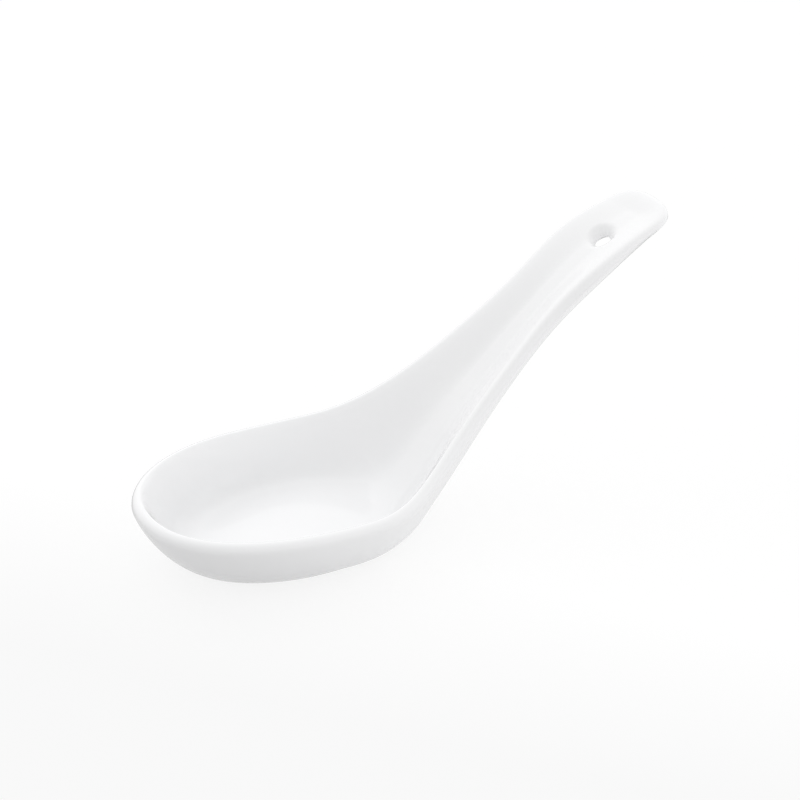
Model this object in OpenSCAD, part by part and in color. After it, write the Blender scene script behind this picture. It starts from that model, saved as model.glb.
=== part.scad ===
// Chinese soup spoon in white glazed porcelain: egg-shaped bowl on a flat foot,
// trough-shaped handle with a pierced hanging hole.
// +X runs towards the handle, +Z up, and the origin is the centre of the flat foot.

/* [Overall] */
// Length from the bowl's tip to the end of the handle
spoon_len = 135; // [120:1:150]
// Height of the handle's end above the table
spoon_h = 60.5; // [54:0.5:66]

/* [Bowl] */
// Width across the widest part of the bowl
bowl_w = 51.5; // [42:0.5:56]
// Distance from the bowl's tip back to its widest part
bowl_front = 38.5; // [34:0.5:42]
// Height of the rim beside the middle of the bowl
bowl_h = 15; // [12:0.5:20]
// Thickness of the bowl's wall at the rim
bowl_wall = 3.8; // [2.6:0.1:4]
// Thickness of the bowl's floor
floor_t = 3.6; // [3:0.1:5]
// Height of the rounding along the rim
lip_h = 1.4; // [1:0.1:2]

/* [Foot] */
// Length of the flat oval that the bowl stands on
foot_len = 43.5; // [38:0.5:48]
// Width of the flat oval that the bowl stands on
foot_w = 24.5; // [18:0.5:28]
// Height by which the bare foot stands out below the glaze
foot_proud = 0.15; // [0.1:0.05:0.4]
// Width of the glazed border round the bare foot
foot_border = 1.2; // [0.8:0.1:2.5]

/* [Inside of the bowl] */
// Length of the oval floor inside the bowl
floor_len = 41; // [36:0.5:44]
// Part of the floor's length that lies in front of the bowl's widest part
floor_front = 16.5; // [14:0.5:20]
// Width of the oval floor inside the bowl
floor_w = 25; // [18:0.5:27]
// Distance behind the bowl's widest part at which the floor starts to climb
climb_start = 14; // [11:0.5:16]

/* [Handle] */
// Width of the handle at its end
handle_w = 18.7; // [16:0.1:24]
// Distance from the handle's end over which its outline is rounded
end_len = 8; // [6:0.5:11]
// Thickness of the handle's edge
handle_wall = 3.2; // [2.4:0.1:3.6]
// Thickness through the handle's end, from rim to underside
handle_t = 2.4; // [2.2:0.1:4]
// Depth of the trough at the handle's end
trough_d = 0.5; // [0.4:0.1:1]

/* [Hanging hole] */
// Diameter of the hole, glaze included
hole_d = 3.6; // [3:0.1:4.5]
// Diameter of the hole's soft mouth
mouth_d = 7.4; // [6:0.1:8.5]
// Depth of the mouth's flare
mouth_depth = 1.7; // [1.2:0.1:2]
// Diameter of the hole's mouth on the underside
back_mouth_d = 6; // [5:0.1:7]
// Depth of that mouth's flare
back_depth = 1.8; // [1:0.1:2]
// Distance from the end of the handle to the hole
hole_inset = 15; // [13:0.5:18]
// Lean of the hole towards the bowl, in degrees
hole_lean = 12; // [6:1:20]

/* [Glaze] */
// Thickness of the glaze
glaze_t = 0.3; // [0.2:0.05:0.5]

/* [Hidden] */

// Stations round the half outline, and points up one wall, over the lip and down the other
front_steps = 10;
side_steps = 30;
end_steps = 12;
wall_steps = 9;
lip_steps = 3;
inner_steps = 10;

// Plan of the half width: 1 is the bowl's, 0 the handle's end
width_shares = [1, 1, 0.61, 0.3, 0.135, -0.01, 0.095, 0];
// Rim height from the tip to the end: 0 is the bowl's, 1 the handle's
rim_shares = [0.055, 0.045, 0.015, -0.02, 0.26, 0.575, 0.9, 1];
// Underside behind the foot: 0 is the table, 1 the handle's end
under_shares = [0, 0.13, 0.37, 0.575, 0.752, 0.89, 1];
// Floor of the trough: 0 is the bowl's floor, 1 the handle's end
trough_shares = [0, 0, 0.275, 0.465, 0.66, 0.822, 0.944, 1];
// How far out the wall's corner lies, as a share of the half width
corner_shares = [0.99, 0.69, 0.69, 0.77];
// The same at the bowl's tip, and along the inside
tip_corner_share = 0.86;
inner_corner_shares = [0.84, 0.86, 0.8, 0.75];
// Flat strip left along the middle of the handle, as a share of the half width
flat_share = 0.15;
// Pull of the corner on the outer wall, and of the floor's corner on the inner wall
corner_pull = [0.7, 2.7, 3.9];
floor_pull = 1.5;
// Squareness of the bowl's tip, and of the foot and the floor
tip_power = 2.15;
foot_power = 2.2;
// Squareness of the handle's end
end_power = 2.5;

tip_x = -bowl_front;
end_x = spoon_len - bowl_front;
pole_x = end_x - end_len;
heel_x = foot_len / 2;
floor_back = floor_len - floor_front;
hole_x = end_x - hole_inset;
cut_over = spoon_h;

// Cubic B-spline through a table whose first and last values are kept
function before(t, i) = i < 0 ? 2 * t[0] - t[1] : i > len(t) - 1 ? 2 * t[len(t) - 1] - t[len(t) - 2] : t[i];
function blend(t, i, f) =
    (pow(1 - f, 3) * before(t, i - 1)
     + (3 * pow(f, 3) - 6 * f * f + 4) * before(t, i)
     + (3 * f * f + 3 * f + 1 - 3 * pow(f, 3)) * before(t, i + 1)
     + pow(f, 3) * before(t, i + 2)) / 6;
function curve(t, u) =
    let (n = len(t) - 1, v = min(max(u, 0), 1) * n, i = min(floor(v), n - 1))
    blend(t, i, v - i);

// Radius of a superellipse with half axes a and b in the direction (c, s)
function oval(a, b, c, s, power) = pow(pow(c / a, power) + pow(s / b, power), -1 / power);
// Half width of an oval of half axes a and b at the distance x along a
function oval_half(a, b, x, power) = x < a ? b * pow(1 - pow(x / a, power), 1 / power) : 0;

function half_width(x) = handle_w / 2 + (bowl_w - handle_w) / 2 * curve(width_shares, x / pole_x);
function rim_z(x) = bowl_h + (spoon_h - bowl_h) * curve(rim_shares, (x - tip_x) / spoon_len);
function under_z(x) = (spoon_h - handle_t) * curve(under_shares, (x - heel_x) / (end_x - heel_x));
function trough_z(x) =
    floor_t + (spoon_h - trough_d - floor_t)
    * curve(trough_shares, (x - climb_start) / (end_x - climb_start));
function wall_t(x) = bowl_wall + (handle_wall - bowl_wall) * min(x / pole_x, 1);

// Slopes on which the rounded end runs out
under_slope = (under_z(end_x) - under_z(pole_x)) / (end_x - pole_x);
trough_slope = (trough_z(end_x) - trough_z(pole_x)) / (end_x - pole_x);

// One station of the half outline: centre x, direction, reach, rim height, foot reach,
// underside, floor reach, floor height, corner, pull, wall, slope share, inner corner
function front_station(a) =
    let (c = cos(a), s = sin(a), reach = oval(bowl_front, bowl_w / 2, c, s, tip_power))
    [0, [-c, s], reach, rim_z(-reach * c),
     oval(foot_len / 2, foot_w / 2, c, s, foot_power), 0,
     oval(floor_front, floor_w / 2, c, s, foot_power), floor_t,
     corner_shares[0] + (tip_corner_share - corner_shares[0]) * c * c,
     corner_pull[0], bowl_wall, 0, inner_corner_shares[0]];
function side_station(x) =
    [x, [0, 1], half_width(x), rim_z(x),
     max(oval_half(heel_x, foot_w / 2, x, foot_power), flat_share * half_width(x)), under_z(x),
     max(oval_half(floor_back, floor_w / 2, x, foot_power), flat_share * half_width(x)), trough_z(x),
     curve(corner_shares, x / pole_x), curve(corner_pull, x / pole_x), wall_t(x), 0,
     curve(inner_corner_shares, x / pole_x)];
function end_station(a) =
    let (c = cos(a), s = sin(a), reach = oval(end_len, handle_w / 2, s, c, end_power))
    [pole_x, [s, c], reach, rim_z(pole_x + reach * s), flat_share * reach, under_z(pole_x),
     flat_share * reach, trough_z(pole_x), curve(corner_shares, 1), curve(corner_pull, 1),
     handle_wall, s, curve(inner_corner_shares, 1)];

stations = concat(
    [for (i = [0 : front_steps - 1]) front_station(90 * i / front_steps)],
    [for (i = [0 : side_steps - 1]) side_station(pole_x * i / side_steps)],
    [for (i = [0 : end_steps]) end_station(90 * i / end_steps)]);
half_count = len(stations);
ring_count = 2 * (half_count - 1);

// Rational curve from p to r with its corner at q
function bend(p, q, r, pull, t) =
    ((1 - t) * (1 - t) * p + 2 * pull * t * (1 - t) * q + t * t * r)
    / ((1 - t) * (1 - t) + 2 * pull * t * (1 - t) + t * t);
// Rational S-curve from p over its shoulder q, down to the corner r and out to s
function slide(p, q, r, s, pull, t) =
    let (a = pow(1 - t, 3), b = 3 * t * (1 - t) * (1 - t), c = 3 * pull * t * t * (1 - t), d = pow(t, 3))
    (a * p + b * q + c * r + d * s) / (a + b + c + d);

// Points of one station from the foot up the wall, over the lip and down to the floor,
// as [reach, z], with every surface drawn in by the inset
function outline(st, inset) =
    let (reach = st[2] - inset, inner = st[2] - st[10] + inset, top = st[3] - inset,
         under = st[5] + inset + foot_proud, floor_z = st[7] - inset, lip_z = st[3] - lip_h,
         wide = max(st[8] * reach, st[4] + inset), inner_flat = min(st[6], inner_corner_shares[0] * inner),
         inner_wide = max(st[12] * inner, inner_flat), rise = under_slope * st[11],
         inner_rise = trough_slope * st[11], crest = (reach + inner) / 2)
    concat(
        [for (i = [0 : wall_steps])
            bend([st[4], under + rise * st[4]], [wide, under + rise * wide], [reach, lip_z],
                 st[9], i / wall_steps)],
        [for (i = [1 : lip_steps])
            let (a = 90 * i / lip_steps)
            [crest + (reach - crest) * cos(a), lip_z + (top - lip_z) * sin(a)]],
        [for (i = [1 : inner_steps])
            slide([crest, top], [inner, top], [inner_wide, floor_z + inner_rise * inner_wide],
                  [inner_flat, floor_z + inner_rise * inner_flat], floor_pull, i / inner_steps)]);

row_len = wall_steps + lip_steps + inner_steps + 1;
function mirror_of(r) = r < half_count ? r : ring_count - r;
function line_place(r) = min(max(mirror_of(r) - front_steps, 0), side_steps);

module shell_solid(inset) {
    under_line = [for (i = [0 : side_steps])
        let (st = stations[front_steps + i]) [st[0], 0, st[5] + inset + foot_proud]];
    floor_line = [for (i = [0 : side_steps])
        let (st = stations[front_steps + i]) [st[0], 0, st[7] - inset]];
    ring = [for (r = [0 : ring_count - 1])
        let (st = stations[mirror_of(r)], side = r < half_count ? 1 : -1)
        for (p = outline(st, inset)) [st[0] + st[1][0] * p[0], side * st[1][1] * p[0], p[1]]];
    start = 2 * (side_steps + 1);
    faces = [for (r = [0 : ring_count - 1])
        let (n = (r + 1) % ring_count, a = start + r * row_len, b = start + n * row_len,
             ca = line_place(r), cb = line_place(n), fa = side_steps + 1 + ca, fb = side_steps + 1 + cb)
        each concat(
            [for (j = [0 : row_len - 2]) each [[a + j, b + j, b + j + 1], [a + j, b + j + 1, a + j + 1]]],
            [[ca, b, a], [b + row_len - 1, fa, a + row_len - 1]],
            ca == cb ? [] : [[ca, cb, b], [b + row_len - 1, fb, fa]])];
    polyhedron(points = concat(under_line, floor_line, ring), faces = faces);
}

module foot_pad() {
    pad_len = foot_len / 2 - foot_border;
    pad_w = foot_w / 2 - foot_border;
    pad_points = [for (i = [0 : 47])
        let (a = 7.5 * i, r = oval(pad_len, pad_w, abs(cos(a)), abs(sin(a)), foot_power))
        [r * cos(a), r * sin(a)]];
    linear_extrude(height = foot_proud + glaze_t + floor_t / 2) polygon(pad_points);
}

// Hole and its two flared mouths, grown all round by the amount given
module hole_cut(grow) {
    r = hole_d / 2 + grow;
    flare = (mouth_d - hole_d) / 2;
    back_flare = (back_mouth_d - hole_d) / 2;
    mouth = trough_z(hole_x);
    under = under_z(hole_x) + foot_proud;
    climb = (under_z(hole_x + hole_d) - under_z(hole_x)) / hole_d;
    hole_len = (mouth - under) / (cos(hole_lean) + climb * sin(hole_lean));
    translate([hole_x, 0, mouth]) rotate([0, -hole_lean, 0])
        rotate_extrude($fn = 48) polygon(concat(
            [[0, -cut_over], [r + back_flare, -cut_over]],
            [for (i = [0 : 6])
                [r + back_flare * (1 - sin(15 * i)), (back_depth + grow) * (1 - cos(15 * i)) - hole_len]],
            [for (i = [0 : 6])
                [r + flare * (1 - cos(15 * i)), (mouth_depth + grow) * (sin(15 * i) - 1)]],
            [[r + flare, cut_over], [0, cut_over]]));
}

module porcelain_body() {
    color([0.93, 0.92, 0.89])
        difference() {
            union() {
                shell_solid(glaze_t);
                foot_pad();
            }
            hole_cut(glaze_t);
        }
}

module glaze_coat() {
    color([0.97, 0.98, 0.98])
        difference() {
            shell_solid(0);
            porcelain_body();
            hole_cut(0);
        }
}

porcelain_body();
glaze_coat();
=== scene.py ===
import math
import bpy
from mathutils import Matrix, Vector


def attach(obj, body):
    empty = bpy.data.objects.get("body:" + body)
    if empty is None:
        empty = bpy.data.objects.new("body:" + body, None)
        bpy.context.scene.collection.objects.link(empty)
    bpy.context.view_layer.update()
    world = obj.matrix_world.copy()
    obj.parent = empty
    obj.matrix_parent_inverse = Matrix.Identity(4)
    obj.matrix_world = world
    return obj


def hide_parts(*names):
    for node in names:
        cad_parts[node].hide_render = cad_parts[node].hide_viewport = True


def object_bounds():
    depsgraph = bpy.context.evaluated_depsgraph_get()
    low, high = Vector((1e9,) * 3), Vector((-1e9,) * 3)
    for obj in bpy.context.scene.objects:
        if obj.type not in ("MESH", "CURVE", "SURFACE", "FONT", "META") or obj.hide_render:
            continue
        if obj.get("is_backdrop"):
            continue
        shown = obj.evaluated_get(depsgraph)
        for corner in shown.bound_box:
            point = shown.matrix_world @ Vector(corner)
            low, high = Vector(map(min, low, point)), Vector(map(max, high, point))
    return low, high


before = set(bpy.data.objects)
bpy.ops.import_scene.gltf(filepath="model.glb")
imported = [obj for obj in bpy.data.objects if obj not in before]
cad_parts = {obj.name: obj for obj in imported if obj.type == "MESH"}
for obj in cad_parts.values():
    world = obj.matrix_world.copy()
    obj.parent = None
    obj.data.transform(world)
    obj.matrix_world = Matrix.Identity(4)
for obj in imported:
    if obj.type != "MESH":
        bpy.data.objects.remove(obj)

start_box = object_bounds()
scene = bpy.context.scene
MM = 0.001

# Sizes of the spoon in metres; each is a named input of the Geometry Nodes trees
SIZES = {
    "Length": 135 * MM,
    "Height": 60.5 * MM,
    "Bowl width": 51.5 * MM,
    "Bowl front": 38.5 * MM,
    "Bowl height": 15 * MM,
    "Bowl wall": 3.8 * MM,
    "Floor thickness": 3.6 * MM,
    "Lip height": 2.2 * MM,
    "Foot length": 43.5 * MM,
    "Foot width": 24.5 * MM,
    "Foot proud": 0.15 * MM,
    "Foot border": 1.2 * MM,
    "Floor length": 41 * MM,
    "Floor front": 16.5 * MM,
    "Floor width": 25 * MM,
    "Climb start": 14 * MM,
    "Handle width": 18.7 * MM,
    "End length": 8 * MM,
    "Handle wall": 3.2 * MM,
    "Handle thickness": 2.4 * MM,
    "Trough depth": 0.5 * MM,
    "Hole diameter": 3.6 * MM,
    "Mouth diameter": 7.6 * MM,
    "Mouth depth": 1.8 * MM,
    "Back mouth diameter": 9 * MM,
    "Back mouth depth": 2.1 * MM,
    "Hole inset": 15.3 * MM,
    "Glaze thickness": 0.3 * MM,
}

# Shares along the spoon from the bowl to the handle's end, read as cubic B-splines
WIDTH = (1, 1, 0.61, 0.3, 0.135, -0.01, 0.095, 0)
RIM = (0.055, 0.045, 0.015, -0.02, 0.26, 0.575, 0.9, 1)
UNDER = (0, 0.13, 0.37, 0.575, 0.752, 0.89, 1)
TROUGH = (0, 0, 0.275, 0.463, 0.657, 0.822, 0.944, 1)
CORNER = (0.99, 0.69, 0.69, 0.77)
INNER_CORNER = (0.88, 0.66, 0.46, 0.5)
LIP = (1, 1, 1.3, 1.3, 0.65)
PULL = (0.7, 2.7, 3.9)

TIP_CORNER = 0.86        # outer corner's reach at the bowl's tip
FLOOR_PULL = 2.2         # how hard the inner corner pulls, in the bowl
HANDLE_PULL = 1.1        # and along the handle,
PULL_CHANGE = 3          # which it reaches after a third of the way
FLOOR_CLOSE = 0.8        # how fast the bowl's floor narrows towards the throat
FLAT = 0.15              # least share of the reach that lies flat
TIP_POWER = 2.15         # roundness of the ovals: bowl, foot and handle's end
FOOT_POWER = 2.2
END_POWER = 2.4

HOLE_LEAN = math.radians(12)
MOUTH_POWER = 1.7        # hollowness of the hole's flares
BACK_POWER = 2
TURN_PART = 20           # the bore's mouths turn out by this part of its diameter,
TURN_END = 0.96          # up to this share of a quarter turn

PAD_EDGE = -0.49         # lowest ring of the foot, in a cylinder 1 unit tall,
PAD_DRAW = 1.5           # and how far it is drawn in
FOOT_GAP = 0.01 * MM     # air between the foot and the glaze that ends round it
MERGE = 0.001 * MM
CREASE = math.radians(35)


# Node helpers
class Val:
    """A node socket that can be used in sums, in a shader or a geometry tree."""

    def __init__(self, tree, sock):
        self.tree = tree
        self.sock = sock

    def _m(self, kind, *others):
        return calc(self.tree, kind, self, *others)

    def __add__(self, o): return self._m("ADD", o)
    def __radd__(self, o): return calc(self.tree, "ADD", o, self)
    def __sub__(self, o): return self._m("SUBTRACT", o)
    def __rsub__(self, o): return calc(self.tree, "SUBTRACT", o, self)
    def __mul__(self, o): return self._m("MULTIPLY", o)
    def __rmul__(self, o): return calc(self.tree, "MULTIPLY", o, self)
    def __truediv__(self, o): return self._m("DIVIDE", o)
    def __pow__(self, o): return self._m("POWER", o)
    def __neg__(self): return self._m("MULTIPLY", -1.0)
    def clamp(self, lo=0.0, hi=1.0): return self._m("MAXIMUM", lo)._m("MINIMUM", hi)
    def max(self, o): return self._m("MAXIMUM", o)
    def min(self, o): return self._m("MINIMUM", o)
    def sqrt(self): return self._m("SQRT")
    def abs(self): return self._m("ABSOLUTE")
    def cos(self): return self._m("COSINE")
    def sin(self): return self._m("SINE")


def calc(tree, kind, *args):
    """One Math node."""
    node = tree.nodes.new("ShaderNodeMath")
    node.operation = kind
    for i, a in enumerate(args):
        if isinstance(a, Val):
            tree.links.new(a.sock, node.inputs[i])
        else:
            node.inputs[i].default_value = a
    return Val(tree, node.outputs[0])


def put(tree, kind, props=None, **ins):
    """Any other node: its properties, its inputs by name or as _0, _1, and its first output."""
    node = tree.nodes.new(kind)
    for k, v in (props or {}).items():
        setattr(node, k, v)
    for k, v in ins.items():
        by_place = k[0] == "_"
        sock = node.inputs[int(k[1:]) if by_place else k.replace("_", " ")]
        if isinstance(v, Val):
            tree.links.new(v.sock, sock)
        else:
            sock.default_value = v
    return Val(tree, node.outputs[0])


def vec(tree, x, y, z):
    return put(tree, "ShaderNodeCombineXYZ", _0=x, _1=y, _2=z)


def parts(tree, v):
    node = tree.nodes.new("ShaderNodeSeparateXYZ")
    tree.links.new(v.sock, node.inputs[0])
    return [Val(tree, o) for o in node.outputs]


def curve(tree, table, u):
    """Cubic B-spline through a table whose first and last values are kept."""
    node = tree.nodes.new("GeometryNodeGroup")
    node.node_tree = SPLINE
    tree.links.new(u.sock, node.inputs["Along"])
    node.inputs["Spans"].default_value = len(table) - 1
    before, after = 2 * table[0] - table[1], 2 * table[-1] - table[-2]
    for i, value in enumerate((before, *table, after)):
        node.inputs[f"Value {i}"].default_value = value
    return Val(tree, node.outputs[0])


def oval(a, b, c, s, power):
    """Reach of an oval with half sizes a and b in the direction c, s."""
    return ((c / a) ** power + (s / b) ** power) ** (-1 / power)


def new_tree(name, inputs, result="Geometry"):
    tree = bpy.data.node_groups.new(name, "GeometryNodeTree")
    for key, value in inputs.items():
        kind = "NodeSocketInt" if isinstance(value, int) else "NodeSocketFloat"
        sock = tree.interface.new_socket(key, in_out="INPUT", socket_type=kind)
        sock.default_value = value
    kind = "NodeSocketGeometry" if result == "Geometry" else "NodeSocketFloat"
    tree.interface.new_socket(result, in_out="OUTPUT", socket_type=kind)
    node = tree.nodes.new("NodeGroupInput")
    return tree, {k: Val(tree, node.outputs[k]) for k in inputs}


def finish_tree(tree, value, result="Geometry"):
    node = tree.nodes.new("NodeGroupOutput")
    tree.links.new(value.sock, node.inputs[result])


def spline_tree():
    """Cubic B-spline of up to eight values, with one more beyond each end."""
    names = [f"Value {i}" for i in range(10)]
    inputs = {"Along": 0.0, "Spans": 7.0, **dict.fromkeys(names, 0.0)}
    tree, g = new_tree("Share curve", inputs, "Share")
    place = g["Along"].clamp() * g["Spans"]
    total = 0.0
    for i, name in enumerate(names):
        off = (place - (i - 1)).abs()
        wide = (2 - off).max(0.0) ** 3
        near = (1 - off).max(0.0) ** 3
        total = (wide - 4 * near) * g[name] + total
    finish_tree(tree, total / 6, "Share")
    return tree


SPLINE = spline_tree()

# The spoon's loft: stations round the outline, and columns from the foot to the floor
BANDS = ("Foot columns", "Wall columns", "Lip columns", "Inner columns", "Floor columns")
FINE = {"Tip stations": 44, "Side stations": 190, "End stations": 40,
        **dict(zip(BANDS, (8, 26, 12, 34, 10)))}
COARSE = {"Tip stations": 24, "Side stations": 84, "End stations": 20,
          **dict(zip(BANDS, (3, 14, 8, 12, 3)))}


def trough_at(tree, g, x):
    """Height of the bowl's floor and of the trough, along the middle."""
    end_x = g["Length"] - g["Bowl front"]
    climb = g["Climb start"]
    rise = g["Height"] - g["Trough depth"] - g["Floor thickness"]
    return g["Floor thickness"] + rise * curve(tree, TROUGH, (x - climb) / (end_x - climb))


def loft_tree():
    """Closed skin of the spoon, drawn in by an inset, with a soft dimple at the hole."""
    tree, g = new_tree("Spoon loft", {**SIZES, "Inset": 0.0, **FINE})
    inset = g["Inset"]
    front, width = g["Bowl front"], g["Bowl width"] / 2
    hand = g["Handle width"] / 2
    end_x = g["Length"] - front
    pole_x = end_x - g["End length"]
    heel, foot_w = g["Foot length"] / 2, g["Foot width"] / 2
    floor_front, floor_w = g["Floor front"], g["Floor width"] / 2
    floor_back = g["Floor length"] - floor_front

    # Grid columns: u runs round the outline and back, v from foot over the lip to the floor
    rows = g["Tip stations"] + g["Side stations"] + g["End stations"]
    cols = (g["Foot columns"] + g["Wall columns"] + g["Lip columns"]
            + g["Inner columns"] + g["Floor columns"])
    grid = put(tree, "GeometryNodeMeshGrid", _0=1.0, _1=1.0, _2=rows * 2 + 1, _3=cols + 1)
    u, v, _ = parts(tree, put(tree, "GeometryNodeInputPosition"))
    around = 1 - (u * 2).abs()
    side_sign = calc(tree, "SIGN", -u)
    quarter = math.pi / 2
    m = around * rows
    a_tip = (m / g["Tip stations"]).clamp() * quarter
    x = ((m - g["Tip stations"]) / g["Side stations"]).clamp() * pole_x
    past_side = m - g["Tip stations"] - g["Side stations"]
    a_end = (past_side / g["End stations"]).clamp() * quarter
    c1, s1, c2, s2 = a_tip.cos(), a_tip.sin(), a_end.cos(), a_end.sin()
    dir_x, dir_y = s2 - c1, s1 * c2

    # Reach and height of each station
    share = x / pole_x
    half = hand + (width - hand) * curve(tree, WIDTH, share)
    end_reach = oval(hand, g["End length"], c2, s2, END_POWER)
    reach = half * oval(front, width, c1, s1, TIP_POWER) / width * end_reach / hand
    rim_share = curve(tree, RIM, (x + dir_x * reach + front) / g["Length"])
    rim = g["Bowl height"] + (g["Height"] - g["Bowl height"]) * rim_share

    def under_at(xx):
        tall = g["Height"] - g["Handle thickness"]
        return tall * curve(tree, UNDER, (xx - heel) / (end_x - heel))

    def flat_reach(ahead, behind, b, close):
        along = (1 - (x / behind).clamp() ** FOOT_POWER).max(0.0) ** close * b
        return along * oval(ahead, b, c1, s1, FOOT_POWER) / b

    least = reach * FLAT
    foot = flat_reach(heel, heel, foot_w, 1 / FOOT_POWER).max(least)
    floor = (flat_reach(floor_front, floor_back, floor_w, FLOOR_CLOSE) ** 2 + least ** 2).sqrt()
    under, trough = under_at(x), trough_at(tree, g, x)
    rise = (under_at(end_x) - under_at(pole_x)) / g["End length"] * s2
    rise_in = (trough_at(tree, g, end_x) - trough_at(tree, g, pole_x)) / g["End length"] * s2
    corner = curve(tree, CORNER, share) + (TIP_CORNER - CORNER[0]) * c1 * c1
    corner_in = curve(tree, INNER_CORNER, share)
    pull = curve(tree, PULL, share)
    pull_in = FLOOR_PULL + (HANDLE_PULL - FLOOR_PULL) * (share * PULL_CHANGE).clamp()
    wall = g["Bowl wall"] + (g["Handle wall"] - g["Bowl wall"]) * share

    # Half-section as in the CAD source, with a rounder lip and gentler sides in the trough
    out = reach - inset
    inn = reach - wall + inset
    top = rim - inset
    low = under + inset + g["Foot proud"]
    bed = trough - inset
    lip_z = rim - g["Lip height"] * curve(tree, LIP, share)
    wide = (corner * out).max(foot + inset)
    bed_r = floor.min(inn * INNER_CORNER[0])
    wide_in = (corner_in * inn).max(bed_r)
    crest = (out + inn) / 2
    w = (v + 0.5) * cols
    band_shares, begun = [], 0.0
    for name in BANDS:
        band_shares.append(((w - begun) / g[name]).clamp())
        begun = g[name] + begun
    foot_t, wall_t, lip_t, in_t, floor_t = band_shares

    def bend(p, q, r, weight, tt):
        a, b, c = (1 - tt) * (1 - tt), 2 * weight * tt * (1 - tt), tt * tt
        total = a + b + c
        return [(a * p[i] + b * q[i] + c * r[i]) / total for i in (0, 1)]

    outer = bend((foot, low + rise * foot), (wide, low + rise * wide), (out, lip_z), pull, wall_t)
    turn = lip_t * quarter
    rest = 1 - in_t
    a, b = rest ** 3, 3 * in_t * rest * rest
    c, d = 3 * pull_in * in_t * in_t * rest, in_t ** 3
    total = a + b + c + d
    in_r = (a * crest + b * inn + c * wide_in + d * bed_r) / total
    in_z = ((a + b) * top + c * (bed + rise_in * wide_in) + d * (bed + rise_in * bed_r)) / total
    r = (outer[0] - (1 - foot_t) * foot + (crest - out) * (1 - turn.cos())
         + in_r - crest - floor_t * bed_r)
    z = (outer[1] - (1 - foot_t) * rise * foot + (top - lip_z) * turn.sin()
         + in_z - top - floor_t * rise_in * bed_r)
    px, py = x + dir_x * r, side_sign * dir_y * r

    # Soft flares round the hole, from the trough and from the underside
    hole_x = end_x - g["Hole inset"]
    hx, hz = px - hole_x, z - trough_at(tree, g, hole_x)
    lean_c, lean_s = math.cos(HOLE_LEAN), math.sin(HOLE_LEAN)
    off = hx * lean_c + hz * lean_s
    dist = (off * off + py * py).sqrt()
    hole_r = g["Hole diameter"] / 2

    def flare(diameter, power):
        return (1 - ((dist - hole_r) / (diameter / 2 - hole_r)).clamp()) ** power

    upper = calc(tree, "GREATER_THAN", in_t, 0.0)
    deep = g["Mouth depth"] + g["Glaze thickness"] / 2
    sink = flare(g["Mouth diameter"], MOUTH_POWER) * deep * upper
    lift = flare(g["Back mouth diameter"], BACK_POWER) * g["Back mouth depth"] * (1 - upper)
    move = sink - lift
    pos = vec(tree, px + move * lean_s, py, z - move * lean_c)

    geo = put(tree, "GeometryNodeSetPosition", Geometry=grid, Position=pos)
    geo = put(tree, "GeometryNodeMergeByDistance", Geometry=geo, Distance=MERGE)
    geo = put(tree, "GeometryNodeFlipFaces", Mesh=geo)
    finish_tree(tree, geo)
    return tree


LOFT = loft_tree()


def use_loft(tree, g, inset, counts):
    node = tree.nodes.new("GeometryNodeGroup")
    node.node_tree = LOFT
    for key in SIZES:
        tree.links.new(g[key].sock, node.inputs[key])
    for key, value in counts.items():
        node.inputs[key].default_value = value
    if isinstance(inset, Val):
        tree.links.new(inset.sock, node.inputs["Inset"])
    return Val(tree, node.outputs["Geometry"])


def hole_cutter(tree, g, grow):
    """Rod along the leaning axis of the hole, waisted at the throat between the two flares."""
    x = g["Length"] - g["Bowl front"] - g["Hole inset"]
    mouth = trough_at(tree, g, x)
    rod = put(tree, "GeometryNodeMeshCylinder", props={"fill_type": "NGON"},
              Vertices=96, Side_Segments=100, Radius=1.0, Depth=g["Handle width"])
    px, py, pz = parts(tree, put(tree, "GeometryNodeInputPosition"))
    turn = g["Hole diameter"] / TURN_PART
    along = ((pz.abs() - g["Glaze thickness"] + grow) / turn).clamp(0.0, TURN_END)
    r = g["Hole diameter"] / 2 + grow + turn * (1 - (1 - along * along).sqrt())
    rod = put(tree, "GeometryNodeSetPosition", Geometry=rod,
              Position=vec(tree, px * r, py * r, pz))
    deep = g["Mouth depth"] + g["Glaze thickness"]
    place = vec(tree, x + deep * math.sin(HOLE_LEAN), 0.0, mouth - deep * math.cos(HOLE_LEAN))
    return put(tree, "GeometryNodeTransform", Geometry=rod, Translation=place,
               Rotation=(0.0, -HOLE_LEAN, 0.0))


def foot_pad(tree, g, grow):
    """Bare oval that the spoon stands on, with a softened edge."""
    ring = put(tree, "GeometryNodeMeshCylinder", props={"fill_type": "NGON"},
               Vertices=160, Side_Segments=6, Radius=1.0, Depth=1.0)
    x, y, z = parts(tree, put(tree, "GeometryNodeInputPosition"))
    a = g["Foot length"] / 2 - g["Foot border"] + grow
    b = g["Foot width"] / 2 - g["Foot border"] + grow
    size = oval(a, b, x.abs(), y.abs(), FOOT_POWER)
    soft = 1 - (PAD_EDGE - z).max(0.0) * PAD_DRAW
    tall = g["Foot proud"] + g["Glaze thickness"] + g["Floor thickness"] / 2
    pos = vec(tree, x * size * soft, y * size * soft, (z + 0.5) * tall)
    return put(tree, "GeometryNodeSetPosition", Geometry=ring, Position=pos)


def boolean(tree, kind, first, others):
    node = tree.nodes.new("GeometryNodeMeshBoolean")
    node.operation = kind
    node.solver = "MANIFOLD"
    if kind == "DIFFERENCE":
        tree.links.new(first.sock, node.inputs["Mesh 1"])
    else:
        others = [first, *others]
    for o in others:
        tree.links.new(o.sock, node.inputs["Mesh 2"])
    return Val(tree, node.outputs["Mesh"])


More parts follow.
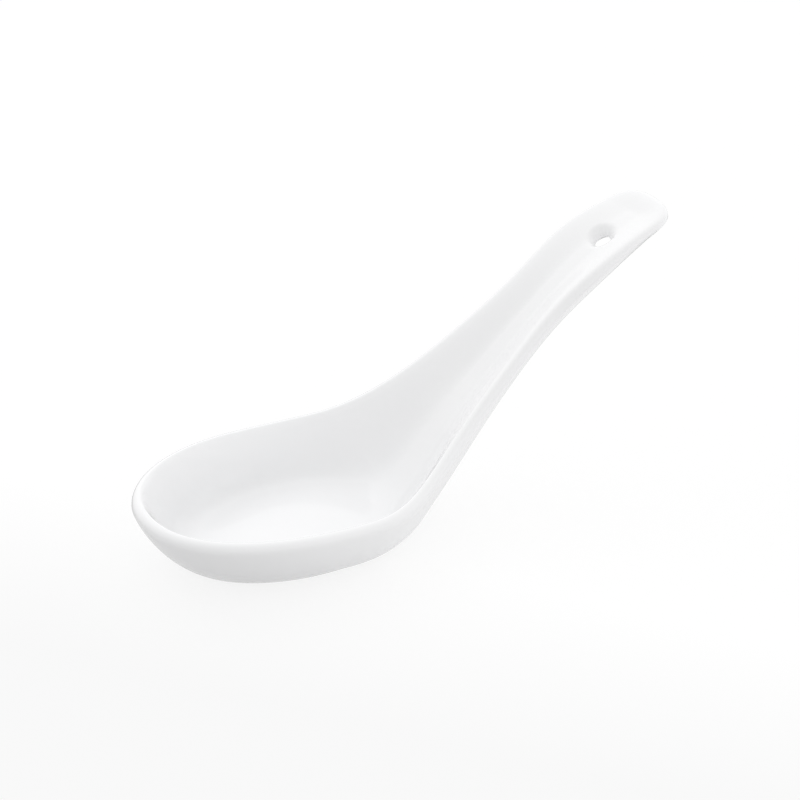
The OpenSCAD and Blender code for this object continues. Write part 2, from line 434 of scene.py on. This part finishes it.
def close_tree(tree, geo, material):
    """Smooth faces with the cut edges kept crisp, then Realize Instances and Set Material."""
    angle = put(tree, "GeometryNodeInputMeshEdgeAngle")
    sharp = put(tree, "FunctionNodeCompare", _0=angle, _1=CREASE,
                props={"data_type": "FLOAT", "operation": "GREATER_THAN"})
    blunt = put(tree, "FunctionNodeBooleanMath", _0=sharp, props={"operation": "NOT"})
    geo = put(tree, "GeometryNodeSetShadeSmooth", props={"domain": "FACE"},
              Geometry=geo, Shade_Smooth=True)
    geo = put(tree, "GeometryNodeSetShadeSmooth", props={"domain": "EDGE"},
              Geometry=geo, Shade_Smooth=blunt)
    geo = put(tree, "GeometryNodeRealizeInstances", Geometry=geo)
    geo = put(tree, "GeometryNodeSetMaterial", Geometry=geo, Material=material)
    finish_tree(tree, geo)
    return tree


def glaze_tree(material):
    """The skin between the outer loft and the inset one, cut open at the hole and the foot."""
    tree, g = new_tree("Glaze coat", SIZES)
    outer = use_loft(tree, g, 0.0, FINE)
    inner = use_loft(tree, g, g["Glaze thickness"], COARSE)
    core = boolean(tree, "DIFFERENCE", inner, [hole_cutter(tree, g, g["Glaze thickness"])])
    shell = boolean(tree, "DIFFERENCE", outer,
                    [core, hole_cutter(tree, g, 0.0), foot_pad(tree, g, FOOT_GAP)])
    return close_tree(tree, shell, material)


def body_tree(material):
    """The inset loft with its foot, pierced by the hole."""
    tree, g = new_tree("Porcelain body", SIZES)
    body = use_loft(tree, g, g["Glaze thickness"], COARSE)
    whole = boolean(tree, "UNION", body, [foot_pad(tree, g, 0.0)])
    whole = boolean(tree, "DIFFERENCE", whole, [hole_cutter(tree, g, g["Glaze thickness"])])
    return close_tree(tree, whole, material)


# Materials
def shader(name):
    mat = bpy.data.materials.new(name)
    mat.use_nodes = True
    tree = mat.node_tree
    bsdf = next(n for n in tree.nodes if n.type == "BSDF_PRINCIPLED")
    where = Val(tree, tree.nodes.new("ShaderNodeTexCoord").outputs["Object"])
    return mat, tree, bsdf, where


def noise(tree, where, scale, detail, rough=0.5):
    return put(tree, "ShaderNodeTexNoise", Vector=where,
               Scale=scale, Detail=detail, Roughness=rough)


def mix_colour(tree, f, a, b):
    node = tree.nodes.new("ShaderNodeMix")
    node.data_type = "RGBA"
    tree.links.new(f.sock, node.inputs["Factor"])
    for key, colour in (("A", a), ("B", b)):
        sock = [i for i in node.inputs if i.name == key and i.type == "RGBA"][0]
        sock.default_value = (*colour, 1)
    return Val(tree, [o for o in node.outputs if o.type == "RGBA"][0])


GLAZE_WHITE, GLAZE_POOLED = (0.9, 0.9, 0.905), (0.88, 0.885, 0.895)
POOL_DEPTH = 14 * MM
CLAY_PALE, CLAY_WARM = (0.84, 0.82, 0.77), (0.78, 0.75, 0.69)


def glaze_material():
    """White glaze: clear gloss over white clay, faintly uneven, a touch bluer where it pools."""
    mat, tree, bsdf, where = shader("white glaze")
    _, _, z = parts(tree, where)
    cloud = noise(tree, where, scale=60.0, detail=3.0)
    pool = (1 - z * (1 / POOL_DEPTH)).clamp() * 0.35 + (cloud - 0.5) * 0.5 + 0.2
    tint = mix_colour(tree, pool.clamp(), GLAZE_WHITE, GLAZE_POOLED)
    tree.links.new(tint.sock, bsdf.inputs["Base Color"])
    spread = (noise(tree, where, scale=140.0, detail=2.0) - 0.5).clamp(-0.3, 0.3)
    rough = 0.07 + spread * 0.05
    tree.links.new(rough.sock, bsdf.inputs["Roughness"])
    bsdf.inputs["IOR"].default_value = 1.5
    bsdf.inputs["Coat Weight"].default_value = 0.25
    bsdf.inputs["Coat Roughness"].default_value = 0.03
    wave = noise(tree, where, scale=75.0, detail=1.0)
    bump = put(tree, "ShaderNodeBump", Strength=0.05, Distance=0.6 * MM, Height=wave)
    tree.links.new(bump.sock, bsdf.inputs["Normal"])
    return mat


def bare_material():
    """Unglazed porcelain: matt, fine grain, slightly warmer than the glaze."""
    mat, tree, bsdf, where = shader("bare porcelain")
    grain = noise(tree, where, scale=2600.0, detail=4.0, rough=0.6)
    stain = noise(tree, where, scale=110.0, detail=3.0)
    warm = (stain * 0.8 + (grain - 0.5) * 0.4).clamp()
    tint = mix_colour(tree, warm, CLAY_PALE, CLAY_WARM)
    tree.links.new(tint.sock, bsdf.inputs["Base Color"])
    rough = 0.7 + (grain - 0.5) * 0.3
    tree.links.new(rough.sock, bsdf.inputs["Roughness"])
    bump = put(tree, "ShaderNodeBump", Strength=0.35, Distance=0.08 * MM, Height=grain)
    tree.links.new(bump.sock, bsdf.inputs["Normal"])
    return mat


GLAZE = glaze_material()
BARE = bare_material()


# Pieces
def piece_from(name, tree):
    """Plain mesh from a Geometry Nodes tree, its sizes set by socket identifier."""
    mesh = bpy.data.meshes.new(name + " seed")
    obj = bpy.data.objects.new(name, mesh)
    scene.collection.objects.link(obj)
    mod = obj.modifiers.new("spoon", "NODES")
    mod.node_group = tree
    for item in tree.interface.items_tree:
        if item.item_type == "SOCKET" and item.in_out == "INPUT":
            mod[item.identifier] = SIZES[item.name]
    deps = bpy.context.evaluated_depsgraph_get()
    deps.update()
    done = bpy.data.meshes.new_from_object(obj.evaluated_get(deps))
    obj.modifiers.remove(mod)
    obj.data = done
    done.name = name
    bpy.data.meshes.remove(mesh)
    return obj


glaze = piece_from("glazed_skin", glaze_tree(GLAZE))
body = piece_from("fired_body", body_tree(BARE))
for obj, node, slot in ((glaze, "glaze_coat", "white_glaze"),
                        (body, "porcelain_body", "bare_porcelain")):
    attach(obj, "root")
    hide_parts(node)

# Floor, light and camera
# Floor colours: pale, and a darker grey painted in as shade in front and on the left
FLOOR_PALE, FLOOR_PAINTED_SHADE = (0.95, 0.95, 0.95), (0.58, 0.58, 0.58)
PAINTED_SHADE_REACH = 60 * MM        # the painted shade on the floor is darkest this far out, in front and on the left
# Painted reflection: a grey strip behind the spoon, seen only in the glaze's reflections
STRIP_BEGIN, STRIP_END = 20 * MM, 60 * MM
STRIP_EDGE = 25 * MM
SHADE_OUT = 0.85           # how far the shadow on the floor is lightened for the camera
GLOW = Vector((-0.15, 0.75, 0.55)).normalized()
ROOM, LOBE, TILT = 0.9, 0.44, 0.36


def floor_material():
    """Matt pale floor with painted shade: its colour is darker in front and on the left.

    The camera sees it nearly white, with a faint shadow. The glaze reflects it at a painted
    level of its own: a painted reflection, with a grey strip behind the spoon, dimmer in front.
    """
    mat, tree, bsdf, where = shader("pale floor")
    bsdf.inputs["Roughness"].default_value = 0.9
    out = next(n for n in tree.nodes if n.type == "OUTPUT_MATERIAL")
    x, y, _ = parts(tree, where)
    # Painted shade: the floor's colour darkens towards the front and the left, so it throws less
    # light back onto the spoon's near side
    painted_shade = ((x * -0.8 - y * 0.6) / PAINTED_SHADE_REACH).clamp()
    tint = mix_colour(tree, painted_shade, FLOOR_PALE, FLOOR_PAINTED_SHADE)
    tree.links.new(tint.sock, bsdf.inputs["Base Color"])
    # Painted reflection: the level the glaze sees in the floor, lowered in a grey strip behind
    # the spoon and by the painted shade in front
    strip = (((y - STRIP_BEGIN) / STRIP_EDGE).clamp()
             * (1 - ((y - STRIP_END) / STRIP_EDGE).clamp()))
    painted_reflection_level = 0.85 - 0.45 * strip - 0.25 * painted_shade
    path = tree.nodes.new("ShaderNodeLightPath")
    below = bsdf.outputs[0]
    for ray, level, amount in (("Is Glossy Ray", painted_reflection_level, 1.0),
                               ("Is Camera Ray", None, SHADE_OUT)):
        glow = tree.nodes.new("ShaderNodeEmission")
        if level is not None:
            tree.links.new(level.sock, glow.inputs["Strength"])
        mix = tree.nodes.new("ShaderNodeMixShader")
        share = Val(tree, path.outputs[ray]) * amount
        tree.links.new(share.sock, mix.inputs[0])
        tree.links.new(below, mix.inputs[1])
        tree.links.new(glow.outputs[0], mix.inputs[2])
        below = mix.outputs[0]
    tree.links.new(below, out.inputs["Surface"])
    return mat


def studio():
    """White room: brighter behind and above, and to the right; plain white to the camera."""
    world = bpy.data.worlds.new("studio")
    scene.world = world
    world.use_nodes = True
    tree = world.node_tree
    bg = next(n for n in tree.nodes if n.type == "BACKGROUND")
    sky = Val(tree, tree.nodes.new("ShaderNodeTexCoord").outputs["Generated"])
    dx, dy, dz = parts(tree, sky)
    lobe = (dx * GLOW[0] + dy * GLOW[1] + dz * GLOW[2]).max(0.0) ** 2
    tone = ROOM + LOBE * lobe + TILT * (dx * 0.9 - dy * 0.4) * (1 - dz.abs())
    ray = Val(tree, tree.nodes.new("ShaderNodeLightPath").outputs["Is Camera Ray"])
    level = tone + (1 - tone) * ray
    bg.inputs["Color"].default_value = (1, 1, 1, 1)
    tree.links.new(level.sock, bg.inputs["Strength"])


def lamp(name, at, aim, size, watts):
    data = bpy.data.lights.new(name, "AREA")
    data.shape = "DISK"
    data.size = size
    data.energy = watts
    obj = bpy.data.objects.new(name, data)
    obj.location = at
    obj.visible_glossy = False
    obj.rotation_euler = (Vector(aim) - Vector(at)).to_track_quat("-Z", "Y").to_euler()
    scene.collection.objects.link(obj)


def camera(az, el, roll, tx, ty, dist, focal):
    """Camera fitted to the photo: angles in degrees, offsets in mm, focal length in pixels."""
    pixels, sensor = 800, 36.0
    a, e, r = (math.radians(v) for v in (az, el, roll))
    back = Vector((math.sin(a) * math.cos(e), -math.cos(a) * math.cos(e), math.sin(e)))
    level = (-back).cross(Vector((0, 0, 1))).normalized()
    steep = level.cross(-back)
    right = math.cos(r) * level + math.sin(r) * steep
    up = math.cos(r) * steep - math.sin(r) * level
    data = bpy.data.cameras.new("photo camera")
    data.sensor_width = sensor
    data.lens = focal * sensor / pixels
    data.clip_start = 0.01
    data.clip_end = 20.0
    data.shift_x = -0.5 / pixels
    data.shift_y = 0.5 / pixels
    obj = bpy.data.objects.new("photo camera", data)
    scene.collection.objects.link(obj)
    obj.matrix_world = Matrix((right, up, back)).transposed().to_4x4()
    obj.matrix_world.translation = -(right * tx - up * ty - back * dist) * MM
    scene.camera = obj


bpy.ops.mesh.primitive_plane_add(size=3.0, location=(0, 0, -0.02 * MM))
floor = bpy.context.object
floor.name = "floor"
floor.data.materials.append(floor_material())
floor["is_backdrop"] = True

studio()
lamp("soft key, behind and left", at=(-0.2, 0.6, 0.7), aim=(0.03, 0, 0.02), size=0.5, watts=0.55)
camera(az=-31.806, el=31.0, roll=0.308, tx=-23.455, ty=30.672, dist=750.0, focal=3324.0)

scene.view_settings.view_transform = "Standard"

[[list(v) for v in box] if hasattr(box[0], "__len__") else list(box)
           for box in (start_box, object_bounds())]
